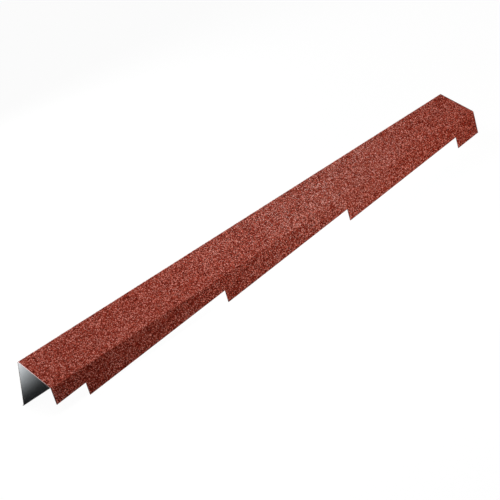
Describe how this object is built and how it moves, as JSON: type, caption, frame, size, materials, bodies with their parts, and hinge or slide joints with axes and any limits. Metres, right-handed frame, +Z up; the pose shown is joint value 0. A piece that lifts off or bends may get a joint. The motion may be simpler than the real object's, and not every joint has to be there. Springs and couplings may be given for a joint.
{
  "type": "gable trim",
  "caption": "Folded stone-coated steel gable trim: a cap with a plain drop and drip lip on the gable side and a splayed saw-tooth flange on the roof side.",
  "frame": {"origin": "on the floor, under the middle of the box that the standing trim fills", "axes": "+X along the trim, down the roof slope towards the eaves; -Y towards the roof tiles; +Y towards the gable; +Z up, with the trim standing on its tooth tips and drip lip"},
  "size_m": [1.25, 0.1496, 0.1068],
  "materials": {
    "stone_coat": "red mineral granules bonded to the outside of the sheet",
    "zinc_sheet": "bare grey zinc-coated steel on the inside and on the cut edges"
  },
  "bodies": {
    "root": {"gable_trim": "stone_coat"}
  },
  "joints": []
}
